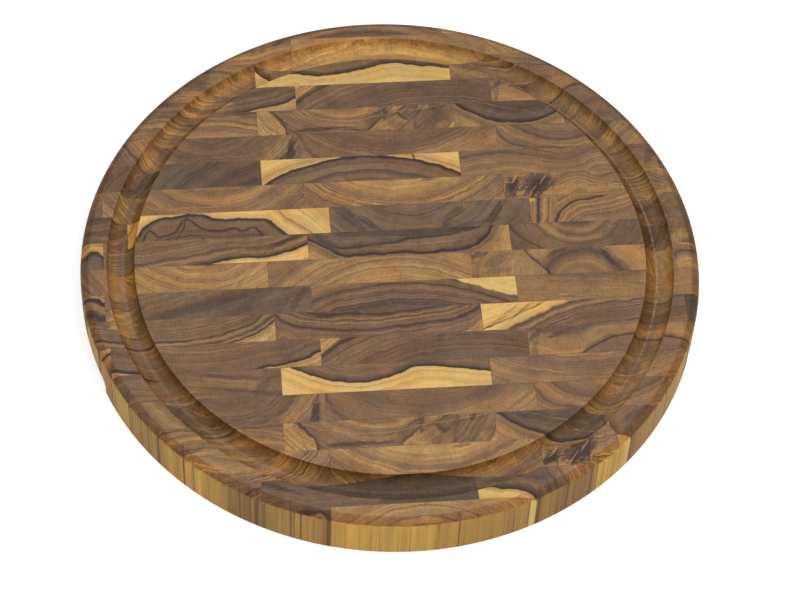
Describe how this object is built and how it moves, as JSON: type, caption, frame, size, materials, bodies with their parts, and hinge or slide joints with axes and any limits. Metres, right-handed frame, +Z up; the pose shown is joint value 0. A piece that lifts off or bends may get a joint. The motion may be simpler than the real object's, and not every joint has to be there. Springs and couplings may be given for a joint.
{
  "type": "cutting board",
  "caption": "Round end-grain hardwood cutting board of staggered blocks, with a juice groove inside the rim and undercut finger grips at both sides.",
  "frame": {"origin": "centre of the underside, on the surface that the board lies on", "axes": "+Z up out of the working face, +X along the rows of blocks towards one finger grip"},
  "size_m": [0.4, 0.4, 0.035],
  "materials": {
    "oiled_hardwood": "oiled satin end grain"
  },
  "bodies": {
    "root": {"row_01": "oiled_hardwood", "row_02": "oiled_hardwood", "row_03": "oiled_hardwood", "row_04": "oiled_hardwood", "row_05": "oiled_hardwood", "row_06": "oiled_hardwood", "row_07": "oiled_hardwood", "row_08": "oiled_hardwood", "row_09": "oiled_hardwood", "row_10": "oiled_hardwood", "row_11": "oiled_hardwood", "row_12": "oiled_hardwood", "row_13": "oiled_hardwood", "row_14": "oiled_hardwood", "row_15": "oiled_hardwood", "row_16": "oiled_hardwood", "row_17": "oiled_hardwood", "row_18": "oiled_hardwood", "row_19": "oiled_hardwood", "row_20": "oiled_hardwood"}
  },
  "joints": []
}
